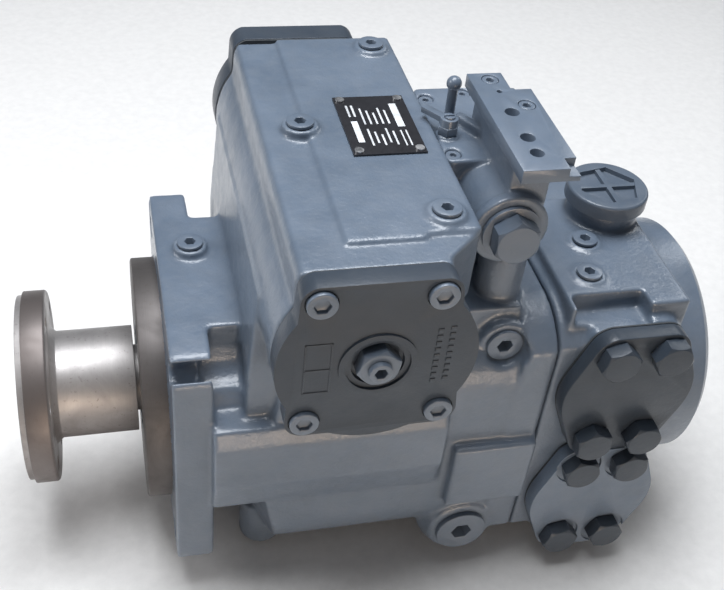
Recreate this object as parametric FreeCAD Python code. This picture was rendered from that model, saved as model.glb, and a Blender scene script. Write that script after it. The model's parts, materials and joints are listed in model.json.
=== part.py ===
"""Variable displacement axial piston pump with an SAE C mounting flange and a coupling flange.

X runs along the drive shaft, from the coupling flange towards the boost pump at the rear.
The mounting face is at x = 0 and the origin is on the shaft axis. Z is up. Millimetres.
"""
import FreeCAD
import Part
import math
import os

os.makedirs("parts", exist_ok=True)

# ---------------------------------------------------------------- driving dimensions
GAP = 0.3                # air left between pieces that don't bear on each other
RUN = 0.03               # radial clearance of a running fit

# mounting flange and pilot: SAE J744 size C, four bolts
PILOT_R, PILOT_LEN = 63.5, 12.7
FLANGE_HALF, FLANGE_T, FLANGE_CORNER = 73.0, 19.0, 14.0
MOUNT_HALF, MOUNT_HOLE_R = 57.25, 7.15
SPOT_R, SPOT_DEPTH = 12.5, 4.5
SLOT_W = 9.6             # opening of the corner slots beside the two upper bolt holes
LIP_HALF, LIP_NEAR_Y = 82.0, -77.0

# main casting
BODY_HALF, BODY_CORNER = 76.0, 38.0
NECK_R, SHOULDER_X, JOINT_X = 72.5, 42.0, 185.0
CAVITY_R, CAVITY_FRONT_R, CAVITY_X = 66.0, 64.0, 14.0
WALL_TOP, DECK_STEP = 150.0, 2.0   # raised pad on the stroke cylinder box, and its height

# stroke cylinder, along Y above the rotating group
STROKE_X, STROKE_Z, STROKE_R = 82.0, 106.0, 30.0
STROKE_BARREL_R = 43.5
NEAR_Y, FAR_Y = -100.0, 88.0
NEAR_COVER_T, FAR_COVER_T, GASKET_T = 10.0, 14.0, 1.0
DECK_X1, DECK_NEAR_Y = 130.0, -80.0
COVER_SCREWS = ((56.0, 141.4), (105.5, 141.4), (52.5, 75.0), (112.0, 75.0))
COVER_EAR_R = 8.5

# swashplate: tilts about a vertical axis through the piston ball centres
TILT_X = 56.0
SWASH_R, SWASH_FACE_X, SWASH_BACK_X = 54.0, 47.5, 37.0
CRADLE_R, CRADLE_SHELL = 46.0, 1.8
CRADLE_Z0, CRADLE_Z1 = 36.0, 56.0
CRADLE_EDGE_R = 58.0

# rotating group
SHAFT_R, SHAFT_FRONT_R, SHAFT_REAR_R = 17.5, 15.0, 12.5
BLOCK_R, BLOCK_X0, BLOCK_X1 = 56.0, 92.0, 172.0
PISTON_COUNT, PISTON_PCR, PISTON_R = 9, 41.0, 11.0
PISTON_X0, PISTON_X1, BORE_X1 = 70.0, 140.0, 158.0
BALL_R, SLIPPER_R, CUP_R, CUP_LIP = 6.5, 12.0, 10.0, 2.5
GUIDE_BALL_R = 25.0

# coupling flange
COUPLING_R, COUPLING_X0, COUPLING_X1 = 50.0, -71.0, -56.3
HUB_R, HUB_X1 = 28.0, -14.5
COUPLING_PCR, COUPLING_HOLE_R, COUPLING_HOLES = 42.0, 4.15, 6

# bearings
FRONT_BRG_X0, FRONT_BRG_X1, FRONT_BRG_R = 3.0, 21.0, 36.0
REAR_BRG_X0, REAR_BRG_X1, REAR_BRG_R = 183.0, 199.0, 19.0

# port block, ports A and B: 1 inch SAE flange ports on its near side
BLOCK_REAR_X, PORT_FACE_Y, FAR_FACE_Y = 246.0, -76.0, 74.0
PORT_TOP_Z, PORT_BOTTOM_Z = 88.0, -86.0
PORT_X, PORT_Z, PORT_BORE_R = 224.3, 40.5, 12.7
PORT_DX, PORT_DZ = 27.76, 57.15
PORT_COVER_T, PORT_COVER_R, PORT_EAR_R = 8.5, 35.0, 11.6
PORT_BOLT_R, PORT_BOLT_AF, PORT_HEAD_H = 6.0, 18.0, 8.0

# boost pump at the rear
BOOST_R, BOOST_X1 = 67.6, 287.5
GEAR_MODULE, GEAR_TEETH, GEAR_W, GEAR_X0 = 2.5, 14, 16.0, 251.0
GEAR_DIST = GEAR_MODULE * GEAR_TEETH

# control valve on the right of the stroke cylinder
VALVE_X0, VALVE_X1, VALVE_Y0, VALVE_Y1, VALVE_Z0, VALVE_Z1 = 131.0, 162.0, -27.0, 39.0, 84.0, 147.0
SPOOL_X, SPOOL_Z, SPOOL_R = 154.0, 129.0, 5.0
VALVE_TUBE_R, VALVE_TUBE_Y = 17.0, -58.0
PLATE_Z0, PLATE_Z1 = 165.5, 172.0
ADJUST_X, ADJUST_Y = 136.5, -5.0
KNOB_X, KNOB_Y, KNOB_Z, KNOB_R = 142.3, 11.5, 165.0, 3.7


# ---------------------------------------------------------------- helpers
def vec(x, y, z):
    return FreeCAD.Vector(x, y, z)


AXES = {"x": vec(1, 0, 0), "y": vec(0, 1, 0), "z": vec(0, 0, 1)}


def box(x0, x1, y0, y1, z0, z1):
    return Part.makeBox(x1 - x0, y1 - y0, z1 - z0, vec(x0, y0, z0))


def rod(axis, r, start, end, a, b):
    """Cylinder along an axis, from start to end, at the other two coordinates (a, b) in XYZ order."""
    low, high = min(start, end), max(start, end)
    place = {"x": (low, a, b), "y": (a, low, b), "z": (a, b, low)}[axis]
    return Part.makeCylinder(r, high - low, vec(*place), AXES[axis])


def tube(axis, r_out, r_in, start, end, a=0.0, b=0.0):
    return rod(axis, r_out, start, end, a, b).cut(rod(axis, r_in, start - 1, end + 1, a, b))


def cone(axis, r0, r1, start, end, a, b):
    """Cone whose radius is r0 at start and r1 at end, with start below end."""
    place = {"x": (start, a, b), "y": (a, start, b), "z": (a, b, start)}[axis]
    return Part.makeCone(r0, r1, end - start, vec(*place), AXES[axis])


def at(axis, level, u, v):
    """Point whose coordinate along the axis is level, and whose other two are (u, v)."""
    return {"x": vec(level, u, v), "y": vec(u, level, v), "z": vec(u, v, level)}[axis]


def prism(axis, points, start, end):
    """Extrude a closed outline given in the plane across the axis."""
    corners = [at(axis, start, u, v) for u, v in points]
    face = Part.Face(Part.makePolygon(corners + corners[:1]))
    return face.extrude(AXES[axis] * (end - start))


def hexagon(axis, across_flats, start, end, a, b, turn=0.0):
    r = across_flats / math.sqrt(3)
    points = []
    for i in range(6):
        angle = math.radians(60 * i + turn)
        points.append((a + r * math.cos(angle), b + r * math.sin(angle)))
    return prism(axis, points, start, end)


def fuse(first, *others):
    return first.fuse(list(others)).removeSplitter() if others else first


def cut(shape, *tools):
    return shape.cut(list(tools)) if tools else shape


def tangent_hull(axis, circles, start, end):
    """Solid with the outline of a belt around circles (u, v, r), listed counter-clockwise."""
    points = []
    for i, (u0, v0, r0) in enumerate(circles):
        u1, v1, r1 = circles[(i + 1) % len(circles)]
        du, dv = u1 - u0, v1 - v0
        away = math.atan2(dv, du) - math.acos((r0 - r1) / math.hypot(du, dv))
        points.append((u0 + r0 * math.cos(away), v0 + r0 * math.sin(away)))
        points.append((u1 + r1 * math.cos(away), v1 + r1 * math.sin(away)))
    discs = [rod(axis, r, start, end, u, v) for u, v, r in circles]
    return fuse(prism(axis, points, start, end), *discs)


def rounded_square(half, corner, start, end):
    """Bar along X with a square section and rounded corners."""
    bar = box(start, end, -half, half, -half, half)
    edges = [e for e in bar.Edges if abs(e.BoundBox.XLength - (end - start)) < 1e-6]
    return bar.makeFillet(corner, edges)


def soften(shape, radius, wanted):
    """Round the edges that the test picks, and leave the shape as it is where that can't be built."""
    edges = [e for e in shape.Edges if wanted(e)]
    try:
        rounded = shape.makeFillet(radius, edges)
        return rounded if rounded.isValid() else shape
    except Part.OCCError:
        return shape


def turned(axis_points):
    """Solid of revolution about the shaft axis from (x, r) points."""
    corners = [vec(x, 0, r) for x, r in axis_points]
    face = Part.Face(Part.makePolygon(corners + corners[:1]))
    return face.revolve(vec(0, 0, 0), AXES["x"], 360)


def socket_screw(axis, head_r, head_h, shank_r, shank_len, face, side, a, b, key=None):
    """Socket head screw whose head bears on level face and points to side (+1 or -1)."""
    top = face + side * head_h
    head = rod(axis, head_r, face, top, a, b)
    shank = rod(axis, shank_r, face - side * shank_len, face, a, b)
    af = key or head_r * 0.95
    return cut(fuse(head, shank), hexagon(axis, af, top - side * head_h * 0.55, top + side, a, b))


def hex_bolt(axis, across_flats, head_h, shank_r, shank_len, face, side, a, b, turn=0.0):
    """Hex bolt with a chamfered head and a washer face."""
    top = face + side * head_h
    head = hexagon(axis, across_flats, face + side * 0.6, top, a, b, turn)
    corner = across_flats / math.sqrt(3)
    low, high = sorted((face + side * 0.6, top))
    if side > 0:
        dome = cone(axis, corner + head_h, across_flats / 2 - 0.3, low, high, a, b)
    else:
        dome = cone(axis, across_flats / 2 - 0.3, corner + head_h, low, high, a, b)
    washer = rod(axis, across_flats / 2, face, face + side * 0.6, a, b)
    shank = rod(axis, shank_r, face - side * shank_len, face, a, b)
    return fuse(head.common(dome), washer, shank)


def socket_plug(axis, rim_r, rim_h, thread_r, depth, face, side, a, b, key):
    """Screw-in port plug with a low rim and a hexagon socket."""
    top = face + side * rim_h
    body = fuse(rod(axis, rim_r, face, top, a, b), rod(axis, thread_r, face - side * depth, face, a, b))
    return cut(body, hexagon(axis, key, face - side * depth * 0.6, top + side, a, b))


def coil(axis_x, axis_z, y0, y1, mean_r, wire_r, turns):
    """Compression spring along Y with open ends."""
    pitch = (y1 - y0 - 2 * wire_r) / turns
    helix = Part.makeHelix(pitch, pitch * turns, mean_r)
    along = vec(0, 1, pitch / (2 * math.pi * mean_r))
    ring = Part.Wire(Part.Circle(vec(mean_r, 0, 0), along, wire_r).toShape())
    spring = Part.Wire(helix).makePipeShell([ring], True, True)
    spring.rotate(vec(0, 0, 0), AXES["x"], -90)
    spring.translate(vec(axis_x, y0 + wire_r, axis_z))
    return spring


def gear(x0, width, centre_y, turn, bore_r):
    """Spur gear with straight-sided teeth, thinned to leave generous backlash."""
    pitch_r = GEAR_MODULE * GEAR_TEETH / 2
    root_r, tip_r = pitch_r - 1.25 * GEAR_MODULE, pitch_r + 0.95 * GEAR_MODULE
    step = 2 * math.pi / GEAR_TEETH
    points = []
    for i in range(GEAR_TEETH):
        middle = i * step + math.radians(turn)
        flank = ((0.09, tip_r), (0.21, pitch_r), (0.36, root_r))
        for share, r in [(-share, r) for share, r in reversed(flank)] + list(flank):
            angle = middle + share * step
            points.append((centre_y + r * math.cos(angle), r * math.sin(angle)))
    return cut(prism("x", points, x0, x0 + width), rod("x", bore_r, x0 - 1, x0 + width + 1, centre_y, 0))


def ring_of(count, radius, first_deg, make):
    """Solids made at evenly spaced points (y, z) of a circle about the shaft axis."""
    solids = []
    for i in range(count):
        angle = math.radians(first_deg + 360.0 * i / count)
        solids.append(make(radius * math.cos(angle), radius * math.sin(angle)))
    return solids


def group(solids):
    return Part.makeCompound(solids)


def save(name, shape):
    shape.exportStep(f"parts/{name}.step")
    solids = shape.Solids
    ok = bool(solids) and all(s.isValid() and s.isClosed() for s in solids)
    b = shape.BoundBox
    size = f"{b.XMin:.1f}..{b.XMax:.1f} {b.YMin:.1f}..{b.YMax:.1f} {b.ZMin:.1f}..{b.ZMax:.1f}"
    print(f"{name:26s} {len(solids):3d} solids {'ok ' if ok else 'BAD'} {size}")


# ---------------------------------------------------------------- shared outlines and holes
def stroke_outline(start, end, grow=0.0):
    """Outline of the stroke cylinder covers: a round barrel with an ear at each screw."""
    ears = [COVER_SCREWS[i] for i in (2, 3, 1, 0)]
    circles = [(u, v, COVER_EAR_R + grow) for u, v in ears]
    hull = tangent_hull("y", circles, start, end)
    outline = fuse(hull, rod("y", STROKE_BARREL_R + grow, start, end, STROKE_X, STROKE_Z))
    return outline.common(box(0, 200, start - 1, end + 1, 0, WALL_TOP - 0.3 + grow))


def cover_screw_holes(start, end, r):
    return [rod("y", r, start, end, u, v) for u, v in COVER_SCREWS]


def port_outline(centre_z, start, end):
    """SAE flange block outline: a belt around the port circle and its four bolts."""
    half_x, half_z = PORT_DX / 2, PORT_DZ / 2
    circles = [
        (PORT_X - half_x, centre_z - half_z, PORT_EAR_R),
        (PORT_X + half_x, centre_z - half_z, PORT_EAR_R),
        (PORT_X, centre_z, PORT_COVER_R),
        (PORT_X + half_x, centre_z + half_z, PORT_EAR_R),
        (PORT_X - half_x, centre_z + half_z, PORT_EAR_R),
        (PORT_X, centre_z, PORT_COVER_R),
    ]
    return tangent_hull("y", circles, start, end)


def port_bolt_places():
    places = []
    for centre_z in (PORT_Z, -PORT_Z):
        for sx in (-1, 1):
            for sz in (-1, 1):
                places.append((PORT_X + sx * PORT_DX / 2, centre_z + sz * PORT_DZ / 2))
    return places


TOP_PLUGS = ((67.0, 2.0), (117.5, 75.0), (117.0, -70.0))
GAUGE_PLUGS = ((215.0, -20.0), (207.0, -46.0))
CAP_X, CAP_Y, CAP_R, CAP_TOP = 234.0, 4.0, 21.5, 106.0
SIDE_BOSS_X, SIDE_BOSS_Y, SIDE_BOSS_Z = 160.0, -66.0, 66.0
LOW_BOSS_X, LOW_BOSS_Y, LOW_BOSS_Z = 154.0, -78.0, -62.0
FLANGE_PLUG = (17.0, 14.0)
FLANGE_BOSS_Z = 77.0
DRAIN_X, DRAIN_Y, DRAIN_Z = 49.0, -40.0, -89.0
JOINT_SCREWS = ((-44.0, 71.0), (-44.0, -71.0), (60.0, 61.0), (60.0, -61.0))
JOINT_SCREW_R, JOINT_HEAD_R, JOINT_HEAD_H = 6.0, 9.0, 12.0
BOOST_SCREW_PCR, BOOST_SCREW_R = 54.0, 5.0
VALVE_SCREWS = ((135.5, 29.0), (156.0, 33.5), (135.3, -20.3))
PLATE_SCREWS = ((166.0, -21.5), (156.0, 2.0))
PLATE_PASSAGES = ((157.0, -27.0, 3.4), (157.0, -48.0, 3.4), (157.0, -60.0, 3.2), (157.0, -9.0, 1.3))
THREAD = 0.25            # radial gap drawn between a thread and its hole
NAMEPLATE = (87.0, 121.5, -24.0, 26.0)
NAMEPLATE_RIVETS = [(x, y) for x in (90.0, 118.5) for y in (-21.0, 23.0)]


# ---------------------------------------------------------------- front housing
def make_housing():
    flange = rounded_square(FLANGE_HALF, FLANGE_CORNER, 0, FLANGE_T)
    pilot = rod("x", PILOT_R, -PILOT_LEN, 0, 0, 0)
    neck = rod("x", NECK_R, FLANGE_T - 1, SHOULDER_X + 8, 0, 0)
    body = rounded_square(BODY_HALF, BODY_CORNER, SHOULDER_X, JOINT_X)
    shoulder_end = SHOULDER_X + 14
    shoulder = cone("x", NECK_R, NECK_R + 2.1 * (shoulder_end - SHOULDER_X), SHOULDER_X, shoulder_end, 0, 0)
    body = body.common(fuse(shoulder, rod("x", 140.0, shoulder_end, JOINT_X, 0, 0)))
    top_ledge = box(FLANGE_T - 1, 36, -44, 42, 40, FLANGE_HALF)
    # sloping wall that joins the ledge to the front of the deck
    slope_points = ((33, 40), (33, FLANGE_HALF - 1), (36, FLANGE_HALF - 1), (52, 116), (60, 116), (60, 40))
    front_slope = prism("y", slope_points, -44, 42)
    rear_lip = rounded_square(LIP_HALF, 34.0, 168, JOINT_X).common(box(160, 190, LIP_NEAR_Y, 90, -90, 90))

    barrel = stroke_outline(NEAR_Y, FAR_Y).common(box(0, 200, -120, 120, 0, WALL_TOP - DECK_STEP))
    deck_points = (
        (50.0, NEAR_Y),
        (107.5, NEAR_Y),
        (DECK_X1, DECK_NEAR_Y),
        (DECK_X1, FAR_Y),
        (50.0, FAR_Y),
    )
    deck = prism("z", deck_points, 112, WALL_TOP - DECK_STEP)
    pad_points = (
        (71.0, -84.0),
        (104.0, -84.0),
        (106.0, DECK_NEAR_Y - 1),
        (DECK_X1, DECK_NEAR_Y - 1),
        (DECK_X1, FAR_Y),
        (70.0, FAR_Y),
    )
    pad = prism("z", pad_points, WALL_TOP - 3, WALL_TOP)
    saddle = box(46, 122, -62, 70, 40, 96)
    flank_points = ((38, 112), (34, 60), (34, 30), (80, 30), (80, 112))
    flank = prism("y", flank_points, -70, 78)
    shelf_points = ((-60, 36), (-78, 36), (-82, 26), (-82, 0), (-76, -22), (-60, -22))
    shelf = prism("x", shelf_points, FLANGE_T - 1, 134)
    cheek = box(98, 168, -60, 66, 60, 84)
    valve_seat = box(124, 166, VALVE_Y0 + 2, VALVE_Y1 - 2, 70, VALVE_Z0)
    side_pad = box(140, 184, -82.5, -60, -36, 8)
    far_pad = box(96, 150, 60, 82, -30, 30)
    column = rod("z", 11.5, 40, 110, SIDE_BOSS_X, -44)
    side_boss = rod("y", 12.5, SIDE_BOSS_Y, -20, SIDE_BOSS_X, SIDE_BOSS_Z)
    low_boss = fuse(
        cone("y", 17.5, 22.0, LOW_BOSS_Y, LOW_BOSS_Y + 9, LOW_BOSS_X, LOW_BOSS_Z),
        rod("y", 22.0, LOW_BOSS_Y + 9, -20, LOW_BOSS_X, LOW_BOSS_Z),
    )
    drain_boss = rod("z", 12.0, DRAIN_Z, -60, DRAIN_X, DRAIN_Y)
    flange_boss = rod("z", 8.5, 60, FLANGE_BOSS_Z, *FLANGE_PLUG)
    plug_bosses = [rod("z", 8.5, WALL_TOP - 6, WALL_TOP + 2.4, x, y) for x, y in TOP_PLUGS]

    casting = flange
    for piece in (pilot, neck, body, top_ledge, front_slope, rear_lip, barrel, deck, pad, saddle, flank,
                  shelf, cheek, valve_seat, side_pad, far_pad, column, side_boss, low_boss, drain_boss,
                  flange_boss, *plug_bosses):
        casting = casting.fuse(piece)

    # triangular recess in the near right corner of the deck, beside the corner plug
    corner_cut = prism("z", ((115.5, -101), (131, -101), (131, -81.5)), 138, 152)

    # cavity for the rotating group, with the cradle blocks and the front bearing seat left standing
    rear_space = rod("x", CAVITY_R, 40, JOINT_X + 1, 0, 0)
    front_space = rod("x", CAVITY_FRONT_R, CAVITY_X, 41, 0, 0)
    bearing_seat = rod("x", 38.0, CAVITY_X - 1, 22.0, 0, 0)
    rocker = rod("z", CRADLE_R + CRADLE_SHELL + 0.05, -70, 70, TILT_X, 0)
    rocker_room = rocker.common(rod("x", CRADLE_EDGE_R + 2.0, 0, 30, 0, 0))
    rocker_room = rocker_room.cut(box(0, 60, -70, 70, -34.5, 34.5))
    cradle_up = box(CAVITY_X - 1, TILT_X - 3, -70, 70, CRADLE_Z0 - 1.5, 70).cut(rocker)
    cradle_down = box(CAVITY_X - 1, TILT_X - 3, -70, 70, -70, -CRADLE_Z0 + 1.5).cut(rocker)
    rear_space = cut(rear_space, cradle_up, cradle_down)
    front_space = cut(front_space, bearing_seat, cradle_up, cradle_down)
    lever_window = fuse(
        box(37, STROKE_X - 12, -15, 15, 50, 67.5),
        box(STROKE_X - 14, STROKE_X + 18, -20, 20, 50, STROKE_Z - 20),
    )
    stroke_bore = rod("y", STROKE_R, NEAR_Y - 1, FAR_Y + 1, STROKE_X, STROKE_Z)

    front_bores = [
        rod("x", 20.0, -20, CAVITY_X + 20, 0, 0),
        rod("x", FRONT_BRG_R, FRONT_BRG_X0, 30, 0, 0),
        rod("x", 30.0, -20, -1.0, 0, 0),
        tube("x", 32.0, 28.0, -11.3, -9.7),
    ]
    bolt_holes = []
    for sy in (-1, 1):
        for sz in (-1, 1):
            y, z = sy * MOUNT_HALF, sz * MOUNT_HALF
            bolt_holes.append(rod("x", MOUNT_HOLE_R, -1, FLANGE_T + 1, y, z))
            bolt_holes.append(rod("x", SPOT_R, FLANGE_T - SPOT_DEPTH, FLANGE_T + 16, y, z))
    slots = []
    for side in (-1, 1):
        slot = box(-1, FLANGE_T + 12, -SLOT_W / 2, SLOT_W / 2, 0, 40)
        slot.rotate(vec(0, 0, 0), AXES["x"], -45 * side)
        slot.translate(vec(0, side * MOUNT_HALF, MOUNT_HALF))
        slots.append(slot)

    threads = cover_screw_holes(NEAR_Y - 1, NEAR_Y + 22, 4 + THREAD)
    threads += cover_screw_holes(FAR_Y - 22, FAR_Y + 1, 4 + THREAD)
    threads += [rod("z", 5.3 + THREAD, WALL_TOP - 9, WALL_TOP + 4, x, y) for x, y in TOP_PLUGS]
    threads += [rod("z", 5.3 + THREAD, FLANGE_BOSS_Z - 12, FLANGE_BOSS_Z + 1, *FLANGE_PLUG)]
    threads += [rod("z", 7 + THREAD, DRAIN_Z - 1, DRAIN_Z + 14, DRAIN_X, DRAIN_Y)]
    threads += [rod("y", 7 + THREAD, SIDE_BOSS_Y - 1, SIDE_BOSS_Y + 14, SIDE_BOSS_X, SIDE_BOSS_Z)]
    threads += [rod("y", 10 + THREAD, LOW_BOSS_Y - 1, LOW_BOSS_Y + 16, LOW_BOSS_X, LOW_BOSS_Z)]
    threads += [rod("x", JOINT_SCREW_R + THREAD, JOINT_X - 15, JOINT_X + 1, y, z) for y, z in JOINT_SCREWS]
    threads += [rod("z", 2 + THREAD, VALVE_Z0 - 13, VALVE_Z0 + 1, x, y) for x, y in VALVE_SCREWS]
    rivet_holes = [rod("z", 1.25, WALL_TOP - 5, WALL_TOP + 1, x, y) for x, y in NAMEPLATE_RIVETS]
    casting = casting.removeSplitter().cut(rear_space).cut(front_space)
    side_seat = rod("y", 10.5, SIDE_BOSS_Y - 20, SIDE_BOSS_Y, SIDE_BOSS_X, SIDE_BOSS_Z)
    return casting.cut([rocker_room, lever_window, stroke_bore, corner_cut, side_seat] + slots
                       + front_bores + bolt_holes + threads + rivet_holes)


# ---------------------------------------------------------------- port block
def make_port_block():
    block = box(JOINT_X + 0.5, BLOCK_REAR_X, -62, FAR_FACE_Y, PORT_BOTTOM_Z + 4, PORT_TOP_Z - 14)
    lip = rounded_square(LIP_HALF, 34.0, JOINT_X + 0.5, 204).common(box(180, 210, PORT_FACE_Y, 90, -90, 90))
    near_wall = fuse(
        port_outline(PORT_Z, PORT_FACE_Y, -40),
        port_outline(-PORT_Z, PORT_FACE_Y, -40),
        box(196, 246, PORT_FACE_Y, -40, -30, 30),
    )
    ridge = box(190, 252, -70, 20, 60, PORT_TOP_Z)
    neck = rod("z", 18.5, 60, CAP_TOP - 8.5, CAP_X, CAP_Y)
    spigot = rod("x", 62.0, 178.0, JOINT_X + 1, 0, 0)
    rear_ring = rod("x", BOOST_R, 230, BLOCK_REAR_X, 0, 0)
    pads = [rod("z", 8.0, PORT_TOP_Z - 6, PORT_TOP_Z + 1.6, x, y) for x, y in GAUGE_PLUGS]
    ears = [rod("x", 12.0, 200, BLOCK_REAR_X, y, z) for y, z in JOINT_SCREWS]
    casting = block.fuse([lip, near_wall, ridge, neck, spigot, rear_ring, *pads, *ears])

    # notch in the near upper edge, open above the upper port cover
    pocket = box(193, 231, -90, -59, PORT_TOP_Z - 10.5, PORT_TOP_Z + 1)
    boost_room = rod("x", BOOST_R + GAP, BLOCK_REAR_X, 300, 0, 0)
    shaft_way = rod("x", SHAFT_REAR_R + 2, 170, 260, 0, 0)
    bearing_seat = rod("x", REAR_BRG_R, REAR_BRG_X0 - 6, REAR_BRG_X1, 0, 0)
    holes = [pocket, boost_room, shaft_way, bearing_seat]
    for sign in (1, -1):
        holes.append(rod("y", PORT_BORE_R, PORT_FACE_Y - 1, -44.6, PORT_X, sign * PORT_Z))
        holes.append(rod("x", 9.0, 177, PORT_X, -38, sign * PORT_Z * 0.8))
    for x, z in port_bolt_places():
        holes.append(rod("y", PORT_BOLT_R + THREAD, PORT_FACE_Y - 1, PORT_FACE_Y + 21, x, z))
    holes += [rod("x", JOINT_SCREW_R + 0.4, 180, 250, y, z) for y, z in JOINT_SCREWS]
    holes += [rod("x", JOINT_HEAD_R + 0.6, BLOCK_REAR_X - 13, 262, y, z) for y, z in JOINT_SCREWS]
    holes += [rod("z", 5.3 + THREAD, PORT_TOP_Z - 8, PORT_TOP_Z + 3, x, y) for x, y in GAUGE_PLUGS]
    holes += [rod("z", 15 + THREAD, CAP_TOP - 26, CAP_TOP, CAP_X, CAP_Y)]
    holes += ring_of(4, BOOST_SCREW_PCR, 45,
                     lambda y, z: rod("x", BOOST_SCREW_R + THREAD, BLOCK_REAR_X - 16, 250, y, z))
    holes.append(rod("x", 7.0 + RUN, BLOCK_REAR_X - 10, 250, GEAR_DIST, 0))
    return casting.cut(holes).removeSplitter()


# ---------------------------------------------------------------- boost pump
def make_boost_housing():
    x0 = BLOCK_REAR_X + GAP
    shell = turned(((x0, 0), (x0, BOOST_R), (BOOST_X1 - 4, BOOST_R), (BOOST_X1, BOOST_R - 4), (BOOST_X1, 0)))
    tip_r = GEAR_MODULE * (GEAR_TEETH / 2 + 0.95) + 0.15
    pocket_end = GEAR_X0 + GEAR_W + 0.4
    holes = [
        rod("x", tip_r, x0 - 1, pocket_end, 0, 0),
        rod("x", tip_r, x0 - 1, pocket_end, GEAR_DIST, 0),
        rod("x", SHAFT_REAR_R + RUN, x0, 276, 0, 0),
        rod("x", 7.0 + RUN, x0, 277, GEAR_DIST, 0),
        rod("x", 26.0, 281, 290, 0, 0),
    ]
    holes += ring_of(4, BOOST_SCREW_PCR, 45, lambda y, z: rod("x", BOOST_SCREW_R + 0.4, x0 - 1, 290, y, z))
    holes += ring_of(4, BOOST_SCREW_PCR, 45, lambda y, z: rod("x", 8.6, BOOST_X1 - 11, 290, y, z))
    holes += [rod("x", 4 + THREAD, BOOST_X1 - 16, 290, y, 0) for y in (-38.0, 38.0)]
    return shell.cut(holes).removeSplitter()


def make_rear_cover():
    circles = ((-38.0, 0, 11.0), (0, 0, 32.0), (38.0, 0, 11.0), (0, 0, 32.0))
    plate = tangent_hull("x", circles, BOOST_X1 + 0.1, BOOST_X1 + 8)
    spigot = rod("x", 25.9, BOOST_X1 - 5, BOOST_X1 + 1, 0, 0)
    holes = [rod("x", 4.4, BOOST_X1 - 1, 300, y, 0) for y in (-38.0, 38.0)]
    return cut(fuse(plate, spigot), *holes)


# ---------------------------------------------------------------- stroke cylinder covers
def make_near_cover():
    face = NEAR_Y - GASKET_T
    plate = stroke_outline(face - NEAR_COVER_T, face)
    rim = rod("y", 17.0, face - NEAR_COVER_T - 1.2, face, STROKE_X, STROKE_Z)
    spigot = tube("y", STROKE_R - 0.1, STROKE_R - 7, face, NEAR_Y + 6, STROKE_X, STROKE_Z)
    front = face - NEAR_COVER_T
    cover = fuse(plate, rim, spigot)
    seats = [rod("y", 6.9, front - 2, front + 1.6, u, v) for u, v in COVER_SCREWS]
    recess = rod("y", 11.5, front - 2, front + 2.6, STROKE_X, STROKE_Z)
    step = rod("y", 14.0, front - 2, front + 0.2, STROKE_X, STROKE_Z)
    adjuster = rod("y", 5 + THREAD, front - 2, face + 1, STROKE_X, STROKE_Z)
    return cut(cover, recess, step, adjuster, *seats, *cover_screw_holes(front, face + 1, 4.4))


def make_far_cover():
    face = FAR_Y + GASKET_T
    plate = stroke_outline(face, face + FAR_COVER_T)
    spigot = tube("y", STROKE_R - 0.1, STROKE_R - 7, FAR_Y - 6, face, STROKE_X, STROKE_Z)
    back = face + FAR_COVER_T
    seats = [rod("y", 6.9, back - 1.6, back + 2, u, v) for u, v in COVER_SCREWS]
    return cut(fuse(plate, spigot), *seats, *cover_screw_holes(face - 1, back, 4.4))


def make_cover_gasket(start):
    outline = stroke_outline(start + 0.05, start + GASKET_T - 0.05, -0.4)
    bore = rod("y", STROKE_R + 0.2, start - 1, start + 2, STROKE_X, STROKE_Z)
    return cut(outline, bore, *cover_screw_holes(start - 1, start + 2, 4.6))


def make_cover_screws():
    screws = []
    near_seat = NEAR_Y - GASKET_T - NEAR_COVER_T + 1.6
    far_seat = FAR_Y + GASKET_T + FAR_COVER_T - 1.6
    for u, v in COVER_SCREWS:
        screws.append(socket_screw("y", 6.4, 3.6, 4.0, 26, near_seat, -1, u, v, 6.4))
        screws.append(socket_screw("y", 6.4, 3.6, 4.0, 30, far_seat, 1, u, v, 6.4))
    return group(screws)


def make_adjust_screw():
    face = NEAR_Y - GASKET_T - NEAR_COVER_T + 2.6
    stem = rod("y", 5.0, face - 9, NEAR_Y + 12, STROKE_X, STROKE_Z)
    return cut(stem, hexagon("y", 5.0, face - 10, face - 4, STROKE_X, STROKE_Z))


def make_lock_nut():
    face = NEAR_Y - GASKET_T - NEAR_COVER_T + 2.6
    nut = hexagon("y", 17.0, face - 6.5, face - 0.05, STROKE_X, STROKE_Z, 15)
    dome = cone("y", 8.2, 16.0, face - 6.5, face, STROKE_X, STROKE_Z)
    return cut(nut.common(dome), rod("y", 5.05, face - 8, face + 1, STROKE_X, STROKE_Z))


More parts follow.
